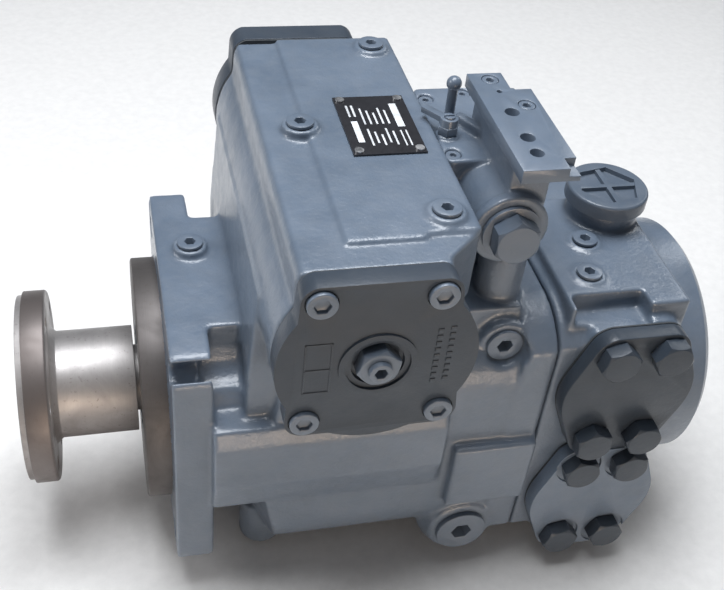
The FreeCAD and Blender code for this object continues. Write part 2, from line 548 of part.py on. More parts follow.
# ---------------------------------------------------------------- control valve
def make_valve_body():
    body = box(VALVE_X0, VALVE_X1, VALVE_Y0, VALVE_Y1, VALVE_Z0 + GAP, VALVE_Z1)
    body = soften(body, 3.0, lambda e: abs(e.BoundBox.ZLength - (VALVE_Z1 - VALVE_Z0 - GAP)) < 1e-6)
    barrel = rod("y", VALVE_TUBE_R, VALVE_TUBE_Y, VALVE_Y0 + 20, SPOOL_X, SPOOL_Z)
    collar = rod("y", VALVE_TUBE_R + 1.2, VALVE_TUBE_Y, VALVE_TUBE_Y + 5, SPOOL_X, SPOOL_Z)
    pedestal = box(151.5, 171.0, -52, 6, 138, PLATE_Z0 - 0.1)
    island = rod("z", 5.3, VALVE_Z1 - 1, VALVE_Z1 + 1.5, ADJUST_X, ADJUST_Y)
    bracket_points = ((143.0, 5.0), (150.5, -9.0), (154.0, -6.0), (146.5, 8.0))
    bracket = prism("z", bracket_points, VALVE_Z1 - 1, VALVE_Z1 + 5)
    holes = [
        rod("y", SPOOL_R + RUN, VALVE_TUBE_Y - 1, 30.6, SPOOL_X, SPOOL_Z),
        rod("y", 10.0 + THREAD, VALVE_TUBE_Y - 1, VALVE_TUBE_Y + 12, SPOOL_X, SPOOL_Z),
        rod("z", 2.6 + THREAD, VALVE_Z1 - 10, VALVE_Z1 + 8, ADJUST_X, ADJUST_Y),
        rod("z", KNOB_R - 1, VALVE_Z1 - 4, VALVE_Z1 + 1, KNOB_X, KNOB_Y),
    ]
    holes += [rod("z", 2.4, VALVE_Z0 - 1, VALVE_Z1 + 1, x, y) for x, y in VALVE_SCREWS]
    holes += [rod("z", 3.9, VALVE_Z1 - 4, VALVE_Z1 + 1, x, y) for x, y in VALVE_SCREWS]
    holes += [rod("z", 2.5 + THREAD, PLATE_Z0 - 13, PLATE_Z0 + 1, x, y) for x, y in PLATE_SCREWS]
    return cut(fuse(body, barrel, collar, pedestal, island, bracket), *holes)


def make_interface_plate():
    points = ((146.3, -73.0), (173.0, -73.0), (173.0, -7.5), (163.3, -7.5), (163.3, 8.0), (146.3, 8.0))
    plate = prism("z", points, PLATE_Z0, PLATE_Z1)
    notch = box(167.5, 175, -74, -65, PLATE_Z0 + 2.5, PLATE_Z1 + 1)
    passages = [rod("z", r, PLATE_Z1 - 5, PLATE_Z1 + 1, x, y) for x, y, r in PLATE_PASSAGES]
    seats = [rod("z", 2.9, PLATE_Z0 - 1, PLATE_Z1 + 1, x, y) for x, y in PLATE_SCREWS]
    seats += [rod("z", 4.2, PLATE_Z1 - 4.0, PLATE_Z1 + 1, x, y) for x, y in PLATE_SCREWS]
    return cut(plate, notch, *passages, *seats)


def make_plate_screws():
    seat = PLATE_Z1 - 4.0
    return group([socket_screw("z", 3.9, 3.9, 2.5, 14, seat, 1, x, y, 3.6) for x, y in PLATE_SCREWS])


def make_valve_plug():
    face = VALVE_TUBE_Y - 0.1
    washer = rod("y", 13.8, face - 2.0, face, SPOOL_X, SPOOL_Z)
    return fuse(washer, hex_bolt("y", 20.0, 9.0, 10.0, 11.0, face - 2.0, -1, SPOOL_X, SPOOL_Z, 30))


def make_adjuster():
    """Adjusting stem with its lock nut and lever, and the round override knob beside it."""
    face = VALVE_Z1 + 1.6
    nut = hexagon("z", 9.0, face, face + 4, ADJUST_X, ADJUST_Y, 10)
    stem = rod("z", 2.6, face - 9, face + 9, ADJUST_X, ADJUST_Y)
    hub = rod("z", 4.2, face + 4, face + 8, ADJUST_X, ADJUST_Y)
    arm = box(0, 15.5, -2.0, 2.0, face + 4.6, face + 7.4)
    arm.rotate(vec(0, 0, 0), AXES["z"], 125)
    arm.translate(vec(ADJUST_X, ADJUST_Y, 0))
    slot = box(ADJUST_X - 5, ADJUST_X + 5, ADJUST_Y - 0.5, ADJUST_Y + 0.5, face + 7.8, face + 10)
    knob_stem = rod("z", KNOB_R - 1.3, VALVE_Z1 - 3.8, KNOB_Z, KNOB_X, KNOB_Y)
    knob = Part.makeSphere(KNOB_R, vec(KNOB_X, KNOB_Y, KNOB_Z))
    return group([cut(fuse(nut, stem, hub, arm), slot), fuse(knob, knob_stem)])


# ---------------------------------------------------------------- plugs and caps
def make_suction_cap():
    rim = rod("z", CAP_R, CAP_TOP - 8, CAP_TOP, CAP_X, CAP_Y)
    stem = rod("z", 15.0, CAP_TOP - 24, CAP_TOP - 7, CAP_X, CAP_Y)
    recess = hexagon("z", 29.0, CAP_TOP - 2.6, CAP_TOP + 1, CAP_X, CAP_Y, 12)
    bars = fuse(
        box(CAP_X - 17, CAP_X + 17, CAP_Y - 1.4, CAP_Y + 1.4, CAP_TOP - 6, CAP_TOP - 0.4),
        box(CAP_X - 1.4, CAP_X + 1.4, CAP_Y - 15, CAP_Y + 15, CAP_TOP - 6, CAP_TOP - 0.4),
    )
    rim = soften(rim, 1.6, lambda e: e.BoundBox.ZLength < 1e-6 and e.BoundBox.ZMin > CAP_TOP - 0.1)
    return fuse(cut(fuse(rim, stem), recess), bars)


def make_small_plugs():
    """Identical plugs: three on the top deck, two gauge ports and one above the mounting flange."""
    places = [(WALL_TOP + 2.4, x, y) for x, y in TOP_PLUGS]
    places += [(PORT_TOP_Z + 1.6, x, y) for x, y in GAUGE_PLUGS]
    places.append((FLANGE_BOSS_Z, *FLANGE_PLUG))
    return group([socket_plug("z", 6.4, 1.6, 5.3, 7.5, face, 1, x, y, 5.0) for face, x, y in places])


# ---------------------------------------------------------------- port covers
def half_of_pair(centre_z):
    """Room on one side of the gap between the two port covers."""
    near, far = sorted((math.copysign(0.3, centre_z), 3 * centre_z))
    return box(150, 300, -200, 0, near, far)


def make_port_cover(centre_z):
    back = PORT_FACE_Y - GASKET_T
    front = back - PORT_COVER_T
    plate = port_outline(centre_z, front, back - 0.05).common(half_of_pair(centre_z))
    tools = []
    for x, z in port_bolt_places():
        if z * centre_z > 0:
            tools.append(rod("y", PORT_BOLT_R + 0.5, front - 1, back + 1, x, z))
            if centre_z < 0:
                tools.append(rod("y", 12.4, front - 1, front + 1.5, x, z))
    return cut(plate, *tools)


def make_port_bolts():
    bolts = []
    for x, z in port_bolt_places():
        face = PORT_FACE_Y - GASKET_T - PORT_COVER_T
        if z < 0:
            face += 1.5
        turn = 12 + 25 * math.sin(x + 3 * z)
        bolts.append(hex_bolt("y", PORT_BOLT_AF, PORT_HEAD_H, PORT_BOLT_R, 28, face, -1, x, z, turn))
    return group(bolts)


def make_port_gasket(centre_z):
    sheet = port_outline(centre_z, PORT_FACE_Y - GASKET_T + 0.05, PORT_FACE_Y - 0.05)
    sheet = sheet.common(half_of_pair(centre_z))
    holes = [rod("y", PORT_BOLT_R + 0.6, -90, -60, x, z) for x, z in port_bolt_places()]
    return cut(sheet, rod("y", PORT_BORE_R + 1, -90, -60, PORT_X, centre_z), *holes)


# ---------------------------------------------------------------- shaft and coupling
def make_shaft():
    shaft = turned((
        (-66.0, 0), (-66.0, 11.0), (-52.0, 11.0), (-52.0, SHAFT_FRONT_R), (HUB_X1 + 0.2, SHAFT_FRONT_R),
        (HUB_X1 + 0.2, SHAFT_R), (88.0, SHAFT_R), (88.0, 19.5), (176.0, 19.5), (176.0, 15.0), (181.0, 15.0),
        (181.0, SHAFT_REAR_R), (274.0, SHAFT_REAR_R), (274.0, 0),
    ))
    return cut(shaft, box(-48, -20, -4, 4, SHAFT_FRONT_R - 4, 30))


def make_key():
    return box(-47.9, -20.1, -3.95, 3.95, SHAFT_FRONT_R - 3.9, SHAFT_FRONT_R + 3.0)


def make_coupling():
    flange = turned((
        (COUPLING_X0, 0), (COUPLING_X0, COUPLING_R - 2.0), (COUPLING_X0 + 3.0, COUPLING_R - 2.0),
        (COUPLING_X0 + 3.0, COUPLING_R), (COUPLING_X1 - 1.0, COUPLING_R), (COUPLING_X1, COUPLING_R - 1.0),
        (COUPLING_X1, HUB_R + 3), (COUPLING_X1 + 3, HUB_R), (HUB_X1, HUB_R), (HUB_X1, 0),
    ))
    holes = ring_of(COUPLING_HOLES, COUPLING_PCR, 30, lambda y, z: rod("x", COUPLING_HOLE_R, -80, -50, y, z))
    centre = rod("x", 28.5, COUPLING_X0 - 1, COUPLING_X0 + 2.5, 0, 0)
    nut_pocket = rod("x", 22.0, COUPLING_X0 - 1, -58.0, 0, 0)
    bore = rod("x", SHAFT_FRONT_R + 0.02, -60, 0, 0, 0)
    keyway = box(-60, 0, -4, 4, 10, SHAFT_FRONT_R + 3.2)
    return cut(flange, centre, nut_pocket, bore, keyway, *holes)


def make_coupling_nut():
    nut = hexagon("x", 32.0, -67.9, -58.1, 0, 0)
    dome = cone("x", 16.2, 30.0, -67.9, -58.1, 0, 0)
    return cut(nut.common(dome), rod("x", 11.02, -80, -50, 0, 0), rod("x", 15.3, -59.0, -58.0, 0, 0))


# ---------------------------------------------------------------- bearings
def make_bearing_outer():
    front = tube("x", FRONT_BRG_R - 0.02, 30.5, FRONT_BRG_X0 + 0.1, FRONT_BRG_X1)
    rear = tube("x", REAR_BRG_R - 0.02, 17.0, REAR_BRG_X0, REAR_BRG_X1 - 0.2)
    return group([front, rear])


def make_bearing_inner():
    front = tube("x", 23.4, SHAFT_R + 0.01, FRONT_BRG_X0 + 0.6, FRONT_BRG_X1 + 1)
    rear = tube("x", 14.0, SHAFT_REAR_R + 0.01, REAR_BRG_X0 + 0.5, REAR_BRG_X1 - 1)
    return group([front, rear])


def make_rollers(count, pitch_r, roller_r, x0, x1):
    rollers = ring_of(count, pitch_r, 0, lambda y, z: rod("x", roller_r, x0, x1, y, z))
    cage = tube("x", pitch_r + 0.9, pitch_r - 0.9, x0 - 0.9, x1 + 0.9)
    pockets = ring_of(count, pitch_r, 0, lambda y, z: rod("x", roller_r + 0.05, x0 - 0.05, x1 + 0.05, y, z))
    return group([cut(cage, *pockets)] + rollers)


# ---------------------------------------------------------------- rotating group
def make_cylinder_block():
    block = turned((
        (BLOCK_X0, 0), (BLOCK_X0, BLOCK_R - 2), (BLOCK_X0 + 2, BLOCK_R), (BLOCK_X1 - 6, BLOCK_R),
        (BLOCK_X1 - 2, BLOCK_R - 4), (BLOCK_X1, BLOCK_R - 4), (BLOCK_X1, 0),
    ))
    holes = [rod("x", 19.52, 80, 180, 0, 0), rod("x", 26.0, 80, BLOCK_X0 + 30, 0, 0)]
    holes += ring_of(PISTON_COUNT, PISTON_PCR, 0, lambda y, z: rod("x", PISTON_R + RUN, 80, BORE_X1, y, z))
    holes += ring_of(PISTON_COUNT, PISTON_PCR - 3, 0, lambda y, z: rod("x", 4.5, BORE_X1 - 5, 180, y, z))
    return cut(block, *holes)


def piston_place(i):
    angle = 2 * math.pi * i / PISTON_COUNT
    return PISTON_PCR * math.cos(angle), PISTON_PCR * math.sin(angle)


def make_piston(i):
    y, z = piston_place(i)
    ball = Part.makeSphere(BALL_R, vec(TILT_X, y, z))
    neck = cone("x", 3.8, PISTON_R - 1.0, TILT_X + 4.5, PISTON_X0 + 2, y, z)
    body = rod("x", PISTON_R, PISTON_X0, PISTON_X1, y, z)
    hollow = rod("x", 7.0, PISTON_X0 + 16, PISTON_X1 + 1, y, z)
    oil_way = rod("x", 1.0, TILT_X - 10, PISTON_X0 + 17, y, z)
    return cut(fuse(ball, neck, body), hollow, oil_way)


def make_slippers():
    """Shoes turned about their own axes, each with a ball socket."""
    x0, x1, x2 = SWASH_FACE_X + GAP, SWASH_FACE_X + 2.8, TILT_X + CUP_LIP
    socket_r = BALL_R + RUN
    mouth_r = math.sqrt(socket_r ** 2 - CUP_LIP ** 2)
    middle = math.pi - math.acos(CUP_LIP / socket_r)
    on_socket = vec(TILT_X - socket_r * math.cos(middle / 2), 0, socket_r * math.sin(middle / 2))
    corners = [vec(TILT_X - socket_r, 0, 0), vec(x0, 0, 0), vec(x0, 0, SLIPPER_R), vec(x1, 0, SLIPPER_R),
               vec(x1, 0, CUP_R), vec(x2, 0, CUP_R), vec(x2, 0, mouth_r)]
    sides = [Part.makeLine(corners[i], corners[i + 1]) for i in range(len(corners) - 1)]
    sides.append(Part.Arc(corners[-1], on_socket, corners[0]).toShape())
    shoe = Part.Face(Part.Wire(sides)).revolve(vec(0, 0, 0), AXES["x"], 360)

    def slipper(y, z):
        copy = shoe.copy()
        copy.translate(vec(0, y, z))
        return copy
    return group(ring_of(PISTON_COUNT, PISTON_PCR, 0, slipper))


def make_retaining_plate():
    x0, x1 = SWASH_FACE_X + 3.2, SWASH_FACE_X + 6.7
    plate = rod("x", 54.0, x0, x1, 0, 0)
    holes = ring_of(PISTON_COUNT, PISTON_PCR, 0, lambda y, z: rod("x", 11.3, x0 - 1, x1 + 1, y, z))
    seat = Part.makeSphere(GUIDE_BALL_R + 0.35, vec(TILT_X, 0, 0))
    return cut(plate, seat, *holes)


def make_guide_ball():
    ball = Part.makeSphere(GUIDE_BALL_R, vec(TILT_X, 0, 0))
    ball = ball.common(box(TILT_X - 8, TILT_X + 14, -40, 40, -40, 40))
    sleeve = rod("x", 24.0, TILT_X + 6, BLOCK_X0 - 0.4, 0, 0)
    return cut(fuse(ball, sleeve), rod("x", SHAFT_R + 0.02, 0, 88.2, 0, 0), rod("x", 19.52, 87.5, 100, 0, 0))


def make_block_spring():
    """Stack of spring washers behind the guide ball, inside the block."""
    washers = []
    for i in range(6):
        x = BLOCK_X0 + 1.2 + i * 4.6
        washers.append(turned(((x, 20.0), (x + 2.6, 25.4), (x + 4.0, 25.4), (x + 1.4, 20.0))))
    return group(washers)


def make_valve_plate():
    x0, x1 = BLOCK_X1 + 0.05, 177.95
    plate = tube("x", 52.0, 22.0, x0, x1)
    kidneys = []
    for side in (1, -1):
        ring = tube("x", 43.0, 33.0, x0 - 1, x1 + 1)
        low, high = sorted((side * 8, side * 60))
        kidneys.append(ring.common(box(x0 - 1, x1 + 1, -60, 60, low, high)))
    return cut(plate, *kidneys)


# ---------------------------------------------------------------- swashplate and stroke piston
def make_swashplate():
    disc = rod("x", SWASH_R, SWASH_BACK_X, SWASH_FACE_X, 0, 0)
    shoe = rod("z", CRADLE_R - 0.02, -CRADLE_Z1, CRADLE_Z1, TILT_X, 0)
    shoe = shoe.common(rod("x", CRADLE_EDGE_R, 0, SWASH_FACE_X, 0, 0))
    upper = box(0, SWASH_FACE_X, -60, 60, CRADLE_Z0, CRADLE_Z1).common(shoe)
    lower = box(0, SWASH_FACE_X, -60, 60, -CRADLE_Z1, -CRADLE_Z0).common(shoe)
    root = box(41.0, SWASH_FACE_X, -7, 7, 50.0, 66.0)
    arm = box(41.0, STROKE_X + 7, -6, 6, 58.5, 66.0)
    pin = rod("z", 5.0, 60.0, STROKE_Z - 6, STROKE_X, 0)
    body = fuse(disc, upper, lower, root, arm, pin)
    return cut(body, rod("x", 27.0, 0, SWASH_FACE_X + 1, 0, 0))


def make_cradle_bearings():
    shells = []
    for z0, z1 in ((CRADLE_Z0, CRADLE_Z1), (-CRADLE_Z1, -CRADLE_Z0)):
        shell = tube("z", CRADLE_R + CRADLE_SHELL, CRADLE_R, z0, z1, TILT_X, 0)
        shell = shell.common(box(0, TILT_X - 16, -60, 60, -70, 70))
        shells.append(shell.common(rod("x", CRADLE_EDGE_R, 0, TILT_X, 0, 0)))
    return group(shells)


def make_stroke_piston():
    land = STROKE_R - RUN
    middle_y = 0.0
    body = fuse(
        rod("y", land, middle_y - 62, middle_y - 26, STROKE_X, STROKE_Z),
        rod("y", land, middle_y + 26, middle_y + 62, STROKE_X, STROKE_Z),
        rod("y", 17.0, middle_y - 30, middle_y + 30, STROKE_X, STROKE_Z),
    )
    groove = box(STROKE_X - 30, STROKE_X + 30, -5.3, 5.3, STROKE_Z - 30, STROKE_Z - 5)
    wells = [
        rod("y", 22.0, middle_y - 63, middle_y - 40, STROKE_X, STROKE_Z),
        rod("y", 22.0, middle_y + 40, middle_y + 63, STROKE_X, STROKE_Z),
    ]
    return cut(body, groove, *wells)


def make_centring_springs():
    near = coil(STROKE_X, STROKE_Z, NEAR_Y + 0.6, -40.6, 17.0, 2.4, 6)
    far = coil(STROKE_X, STROKE_Z, 40.6, FAR_Y - 0.2, 17.0, 2.4, 5)
    return group([near, far])


def make_spool():
    spans = ((-44, -30), (-20, -8), (2, 12), (20, 27.5))
    lands = [rod("y", SPOOL_R, y0, y1, SPOOL_X, SPOOL_Z) for y0, y1 in spans]
    core = rod("y", 2.8, -44, 27.5, SPOOL_X, SPOOL_Z)
    return fuse(core, *lands)


def make_boost_idler():
    wheel = gear(GEAR_X0, GEAR_W, GEAR_DIST, 180.0 / GEAR_TEETH, 6.0)
    pin = rod("x", 7.0, BLOCK_REAR_X - 9.5, 276, GEAR_DIST, 0)
    return fuse(wheel, pin)


# ---------------------------------------------------------------- build everything
save("pump_housing", make_housing())
save("port_block", make_port_block())
save("boost_pump_housing", make_boost_housing())
save("rear_cover_plate", make_rear_cover())
save("near_stroke_cover", make_near_cover())
save("far_stroke_cover", make_far_cover())
save("stroke_cover_screws", make_cover_screws())
save("neutral_adjust_screw", make_adjust_screw())
save("neutral_lock_nut", make_lock_nut())
save("control_valve_body", make_valve_body())
save("control_valve_screws", group([
    socket_screw("z", 3.6, 3.0, 2.0, VALVE_Z1 - 4 - VALVE_Z0 + 11, VALVE_Z1 - 4, 1, x, y, 3.0)
    for x, y in VALVE_SCREWS]))
save("pilot_interface_plate", make_interface_plate())
save("interface_plate_screws", make_plate_screws())
save("valve_end_plug", make_valve_plug())
save("valve_adjust_screw", make_adjuster())
save("suction_port_cap", make_suction_cap())
save("small_port_plugs", make_small_plugs())
save("body_port_plugs", group([
    socket_plug("y", 9.0, 2.0, 7.0, 12, SIDE_BOSS_Y, -1, SIDE_BOSS_X, SIDE_BOSS_Z, 7.0),
    socket_plug("z", 9.0, 2.0, 7.0, 12, DRAIN_Z, -1, DRAIN_X, DRAIN_Y, 7.0)]))
save("low_port_plug", socket_plug("y", 14.0, 3.0, 10.0, 14, LOW_BOSS_Y, -1, LOW_BOSS_X, LOW_BOSS_Z, 10.0))
save("upper_port_cover", make_port_cover(PORT_Z))
save("lower_port_cover", make_port_cover(-PORT_Z))
save("port_cover_bolts", make_port_bolts())
save("gaskets", group([
    make_cover_gasket(NEAR_Y - GASKET_T), make_cover_gasket(FAR_Y),
    make_port_gasket(PORT_Z), make_port_gasket(-PORT_Z)]))
save("nameplate", cut(
    box(NAMEPLATE[0], NAMEPLATE[1], NAMEPLATE[2], NAMEPLATE[3], WALL_TOP + 0.02, WALL_TOP + 0.9),
    *[rod("z", 1.3, WALL_TOP - 1, WALL_TOP + 2, x, y) for x, y in NAMEPLATE_RIVETS]))
save("nameplate_rivets", group([
    fuse(rod("z", 1.2, WALL_TOP - 4, WALL_TOP + 1.2, x, y),
         rod("z", 2.2, WALL_TOP + 0.92, WALL_TOP + 1.7, x, y))
    for x, y in NAMEPLATE_RIVETS]))
save("joint_screws", group([
    socket_screw("x", JOINT_HEAD_R, JOINT_HEAD_H, JOINT_SCREW_R, 61, BLOCK_REAR_X - 13, 1, y, z)
    for y, z in JOINT_SCREWS]))
save("boost_housing_screws", group(ring_of(4, BOOST_SCREW_PCR, 45, lambda y, z: socket_screw(
    "x", 8.0, 9.5, BOOST_SCREW_R, 44, BOOST_X1 - 11, 1, y, z))))
save("rear_cover_screws", group([
    hex_bolt("x", 13.0, 5.5, 4.0, 18, BOOST_X1 + 8, 1, y, 0) for y in (-38.0, 38.0)]))
save("shaft_seal", tube("x", 29.9, SHAFT_R + 0.05, -9.4, -1.1))
save("seal_retaining_ring", tube("x", 31.5, 26.0, -11.1, -9.9))
save("bearing_outer_rings", make_bearing_outer())
save("cradle_bearings", make_cradle_bearings())
save("valve_plate", make_valve_plate())
save("centring_springs", make_centring_springs())
save("drive_shaft", make_shaft())
save("shaft_key", make_key())
save("coupling_flange", make_coupling())
save("coupling_nut", make_coupling_nut())
save("cylinder_block", make_cylinder_block())
save("guide_ball", make_guide_ball())
save("block_spring", make_block_spring())
save("boost_drive_gear", gear(GEAR_X0, GEAR_W, 0.0, 0.0, SHAFT_REAR_R + 0.01))
save("bearing_inner_rings", make_bearing_inner())
save("front_bearing_rollers", make_rollers(16, 26.95, 3.5, 5.5, 19.5))
save("rear_bearing_rollers", make_rollers(18, 15.5, 1.45, 185.0, 197.0))
save("swashplate", make_swashplate())
save("retaining_plate", make_retaining_plate())
save("slippers", make_slippers())
save("stroke_piston", make_stroke_piston())
save("control_spool", make_spool())
save("boost_idler_gear", make_boost_idler())
for number in range(PISTON_COUNT):
    save(f"piston_{number + 1}", make_piston(number))
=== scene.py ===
"""Looks of the axial piston pump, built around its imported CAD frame.

Castings are remeshed copies of their CAD nodes with rounded, slightly uneven cast skin under
thick enamel. Fasteners, plugs and covers are copies with broken edges. Bare steel is turned.
All sizes are metres in the CAD's frame: X along the shaft, Z up.
"""
import json
import math

import bmesh
import bpy
import numpy as np
from mathutils import Matrix, Vector


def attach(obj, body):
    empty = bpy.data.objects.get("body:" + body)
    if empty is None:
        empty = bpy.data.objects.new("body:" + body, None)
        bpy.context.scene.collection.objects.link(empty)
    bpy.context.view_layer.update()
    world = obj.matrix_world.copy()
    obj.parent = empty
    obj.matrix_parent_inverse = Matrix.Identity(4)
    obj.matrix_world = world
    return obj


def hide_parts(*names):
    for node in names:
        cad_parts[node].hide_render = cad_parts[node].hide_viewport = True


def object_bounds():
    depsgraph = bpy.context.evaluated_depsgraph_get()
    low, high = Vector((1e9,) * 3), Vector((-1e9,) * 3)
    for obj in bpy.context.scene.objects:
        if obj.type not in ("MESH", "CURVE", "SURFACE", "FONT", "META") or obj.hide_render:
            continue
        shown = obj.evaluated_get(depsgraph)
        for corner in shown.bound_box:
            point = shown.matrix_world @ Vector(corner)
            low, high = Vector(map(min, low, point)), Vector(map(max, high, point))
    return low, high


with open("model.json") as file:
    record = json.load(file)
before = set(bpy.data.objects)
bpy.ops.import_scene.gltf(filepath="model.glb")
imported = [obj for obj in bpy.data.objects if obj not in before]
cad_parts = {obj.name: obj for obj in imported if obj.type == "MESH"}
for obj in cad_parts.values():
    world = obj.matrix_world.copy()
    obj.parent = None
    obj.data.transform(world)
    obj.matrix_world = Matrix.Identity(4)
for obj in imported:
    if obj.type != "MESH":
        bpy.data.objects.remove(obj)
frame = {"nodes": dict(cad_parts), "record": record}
nodes = frame["nodes"]
cad_low, cad_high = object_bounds()

MM = 0.001
FIRM = 0.12          # share of the smoothing that firm edges of a casting get

# driving sizes, in millimetres, that follow the CAD's castings
CAVITY_R, CAVITY_X = 66.4, 13.0
STROKE_X, STROKE_Z, STROKE_BORE_R = 82.0, 106.0, 30.6
NOSE_R, NOSE_X = 37.0, 30.0
DECK_EDGE_Z, DECK_END_X = 146.4, 129.0
PILOT_R, PILOT_BORE_R, PILOT_END_X = 63.5, 31.0, -12.7
MOUNT_HALF = 57.25
NAMEPLATE_TOP = 150.9
COVER_FACE_Y = -111.0
COVER_EDGE = 0.9


# ---------------------------------------------------------------- shader helpers
class Shader:
    """A material's node tree, with short calls for the nodes used here."""

    def __init__(self, name, **constants):
        self.material = bpy.data.materials.new(name)
        self.material.use_nodes = True
        self.tree = self.material.node_tree
        self.tree.nodes.clear()
        self.out = self.tree.nodes.new("ShaderNodeOutputMaterial")
        self.bsdf = self.tree.nodes.new("ShaderNodeBsdfPrincipled")
        self.tree.links.new(self.bsdf.outputs[0], self.out.inputs[0])
        for key, value in constants.items():
            self.bsdf.inputs[key.replace("_", " ")].default_value = value
        self.coords = self.tree.nodes.new("ShaderNodeTexCoord").outputs["Object"]

    def link(self, a, b):
        self.tree.links.new(a, b)

    def put(self, socket, value):
        if isinstance(value, bpy.types.NodeSocket):
            self.link(value, socket)
        else:
            socket.default_value = value

    def noise(self, scale, detail=3.0, rough=0.5, where=None, distortion=0.0):
        n = self.tree.nodes.new("ShaderNodeTexNoise")
        n.inputs["Scale"].default_value = scale
        n.inputs["Detail"].default_value = detail
        n.inputs["Roughness"].default_value = rough
        n.inputs["Distortion"].default_value = distortion
        self.link(where or self.coords, n.inputs["Vector"])
        return n.outputs["Fac"]

    def ramp(self, value, stops):
        n = self.tree.nodes.new("ShaderNodeValToRGB")
        band = n.color_ramp
        while len(band.elements) < len(stops):
            band.elements.new(0.5)
        for element, (place, colour) in zip(band.elements, stops):
            element.position = place
            element.color = (*colour, 1.0) if len(colour) == 3 else colour
        self.link(value, n.inputs[0])
        return n.outputs[0]

    def remap(self, value, low, high, to_low, to_high):
        n = self.tree.nodes.new("ShaderNodeMapRange")
        n.inputs["From Min"].default_value = low
        n.inputs["From Max"].default_value = high
        n.inputs["To Min"].default_value = to_low
        n.inputs["To Max"].default_value = to_high
        self.link(value, n.inputs["Value"])
        return n.outputs[0]

    def math(self, kind, a, b=0.0):
        n = self.tree.nodes.new("ShaderNodeMath")
        n.operation = kind
        self.put(n.inputs[0], a)
        self.put(n.inputs[1], b)
        return n.outputs[0]

    def mix(self, factor, a, b, kind="MIX"):
        n = self.tree.nodes.new("ShaderNodeMix")
        n.data_type = "RGBA"
        n.blend_type = kind
        self.put(n.inputs[0], factor)
        for socket, value in ((n.inputs[6], a), (n.inputs[7], b)):
            self.put(socket, (*value, 1.0) if isinstance(value, tuple) and len(value) == 3 else value)
        return n.outputs[2]

    def bump(self, height, distance, strength=1.0, base=None):
        n = self.tree.nodes.new("ShaderNodeBump")
        n.inputs["Distance"].default_value = distance
        n.inputs["Strength"].default_value = strength
        self.link(height, n.inputs["Height"])
        if base:
            self.link(base, n.inputs["Normal"])
        return n.outputs[0]

    def edges(self):
        """1 along convex edges, 0 in hollows, 0.5 on flats."""
        return self.tree.nodes.new("ShaderNodeNewGeometry").outputs["Pointiness"]

    def set(self, socket, value):
        self.put(self.bsdf.inputs[socket], value)


# ---------------------------------------------------------------- materials
def enamel(name, tone=1.0, cast=1.0, gloss=0.55, ior=1.5, edge_wear_sheen_and_hollow_shade=False):
    """Thick blue-grey enamel brushed over metal.

    tone scales its colour, cast is how rough the skin below is, and gloss is its clear coat.
    The edge flag lightens convex edges, partly worn paint and partly painted highlight, and darkens
    hollows with painted shade.
    """
    s = Shader(name, Metallic=0.0, Coat_Weight=gloss, Coat_Roughness=0.14, IOR=ior)
    dark = tuple(c * tone for c in (0.094, 0.126, 0.172))
    mid = tuple(c * tone for c in (0.120, 0.156, 0.208))
    pale = tuple(c * tone for c in (0.146, 0.182, 0.236))
    cloud = s.noise(22.0, 4.0, 0.55, distortion=0.3)
    base = s.ramp(cloud, [(0.30, dark), (0.52, mid), (0.75, pale)])
    blotch = s.remap(s.noise(140.0, 3.0, 0.6), 0.35, 0.7, 0.0, 1.0)
    base = s.mix(s.math("MULTIPLY", blotch, 0.22), base, tuple(c * tone for c in (0.17, 0.19, 0.215)))
    if edge_wear_sheen_and_hollow_shade:
        # painted shade: hollows found by pointiness are darkened
        hollow = s.remap(s.edges(), 0.42, 0.50, 1.0, 0.0)
        base = s.mix(s.math("MULTIPLY", hollow, 0.55), base, tuple(c * tone for c in (0.045, 0.055, 0.07)))
        # convex edges are lightened: partly paint worn thin, partly a painted highlight
        worn_and_lit_ridge = s.remap(s.edges(), 0.53, 0.62, 0.0, 1.0)
        patchy = s.math("MULTIPLY", worn_and_lit_ridge, s.remap(s.noise(260.0, 3.0), 0.45, 0.6, 0.15, 1.0))
        base = s.mix(s.math("MULTIPLY", patchy, 0.45), base, (0.34, 0.37, 0.40))
    s.set("Base Color", base)
    s.set("Roughness", s.remap(s.noise(90.0, 4.0, 0.6), 0.3, 0.7, 0.30, 0.50))
    skin = s.bump(s.noise(420.0, 4.0, 0.6), 0.00045 * cast, 0.6)
    lumps = s.bump(s.noise(75.0, 2.0, 0.5), 0.0006 * cast, 0.5, skin)
    peel = s.bump(s.noise(1500.0, 2.0, 0.5), 0.00006, 0.6, lumps)
    s.set("Normal", peel)
    s.link(peel, s.bsdf.inputs["Coat Normal"])
    return s.material


